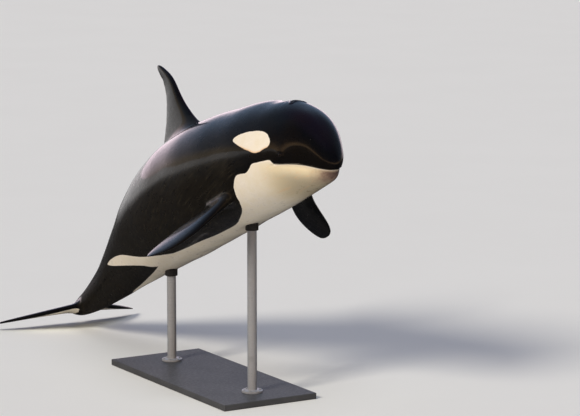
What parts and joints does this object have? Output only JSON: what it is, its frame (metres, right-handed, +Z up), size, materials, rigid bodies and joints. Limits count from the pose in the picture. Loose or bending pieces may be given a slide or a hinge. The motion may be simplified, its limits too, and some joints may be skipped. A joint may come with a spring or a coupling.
{
  "type": "orca display model",
  "caption": "Life-size orca with its back arched and head raised, mouth closed, on a flat base with upright rods.",
  "frame": {"origin": "on the floor, under the middle of the model's bounding box", "axes": "+X towards the snout, +Y towards the animal's left, +Z up"},
  "size_m": [5.5562, 1.9032, 2.9901],
  "materials": {
    "black_skin": "wet black skin, glossy",
    "white_skin": "wet cream-white skin, glossy",
    "eye": "polished dark brown",
    "stand_board": "satin charcoal paint on board",
    "stand_steel": "brushed"
  },
  "bodies": {
    "root": {"head": "black_skin", "lower_jaw": "white_skin", "chest": "black_skin", "abdomen": "black_skin", "tail_stock": "black_skin", "dorsal_fin": "black_skin", "flipper_left": "black_skin", "flipper_right": "black_skin", "fluke_left": "black_skin", "fluke_right": "black_skin", "eye_left": "eye", "eye_right": "eye", "stand_base": "stand_board", "stand_rod_front": "stand_steel", "stand_rod_rear": "stand_steel"}
  },
  "joints": []
}
